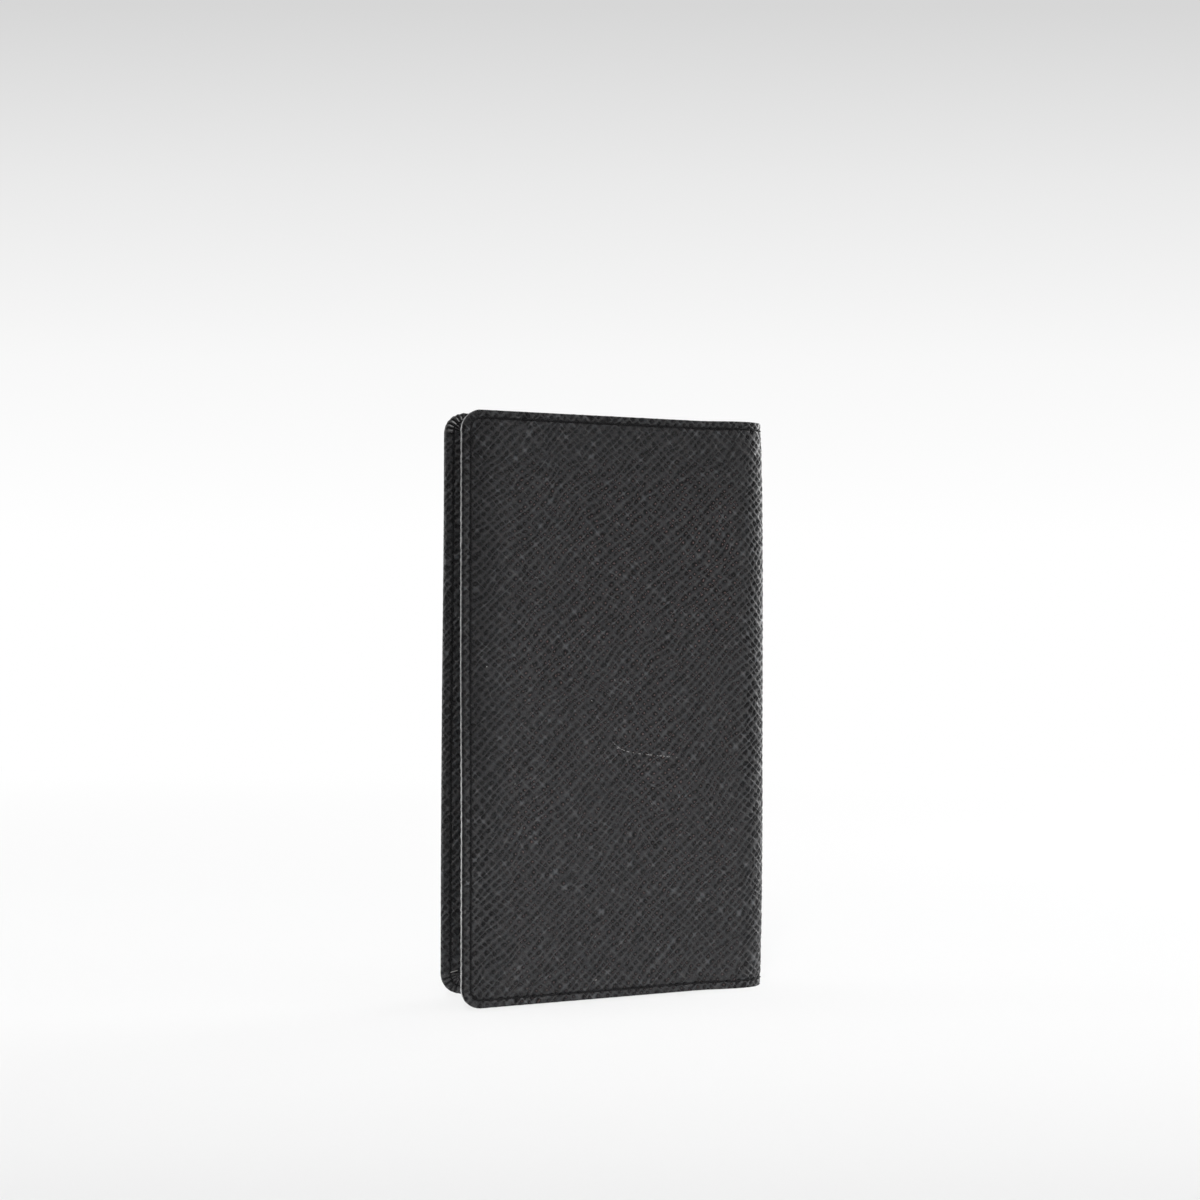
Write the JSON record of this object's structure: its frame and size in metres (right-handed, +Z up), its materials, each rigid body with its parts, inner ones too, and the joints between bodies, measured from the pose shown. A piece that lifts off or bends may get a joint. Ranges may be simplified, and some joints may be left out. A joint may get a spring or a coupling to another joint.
{
  "type": "pocket agenda cover",
  "caption": "Slim grained-leather cover for a pocket agenda: two thin turned-edge panels on a rounded spine, with inner flaps that hold the refill.",
  "frame": {"origin": "centre of the standing cover's footprint, on the surface it stands on", "axes": "+Z up, from the tail edge to the head edge; +X towards the spine; -Y out of the front cover"},
  "size_m": [0.0818, 0.0184, 0.14],
  "materials": {
    "grained_leather": "black cross-grain, semi-matt",
    "pocket_leather": "black, fine grain, semi-matt",
    "stiff_board": "bonded leather fibre, matt",
    "lining": "black fine twill",
    "thread": "black waxed thread"
  },
  "bodies": {
    "spine": {"spine_leather": "grained_leather", "spine_reinforcement": "stiff_board", "spine_lining": "lining", "spine_head_seam_outside": "thread", "spine_tail_seam_outside": "thread", "spine_head_seam_inside": "thread", "spine_tail_seam_inside": "thread"},
    "front_cover": {"front_cover_leather": "grained_leather", "front_board": "stiff_board", "front_lining": "lining", "front_pocket_flap": "pocket_leather", "card_pocket_rear": "pocket_leather", "card_pocket_front": "pocket_leather", "card_pocket_seam": "thread", "front_seam_outside": "thread", "front_seam_inside": "thread"},
    "back_cover": {"back_cover_leather": "grained_leather", "back_board": "stiff_board", "back_lining": "lining", "back_pocket_flap": "pocket_leather", "back_seam_outside": "thread", "back_seam_inside": "thread"}
  },
  "joints": [
    {"name": "front_fold", "type": "hinge", "parent": "spine", "child": "front_cover", "pos_m": [0.03947, -0.00354, 0.07], "axis": [0, 0, 1], "range_deg": [-3, 87]},
    {"name": "back_fold", "type": "hinge", "parent": "spine", "child": "back_cover", "pos_m": [0.03947, 0.00354, 0.07], "axis": [0, 0, -1], "range_deg": [-3, 87]}
  ]
}
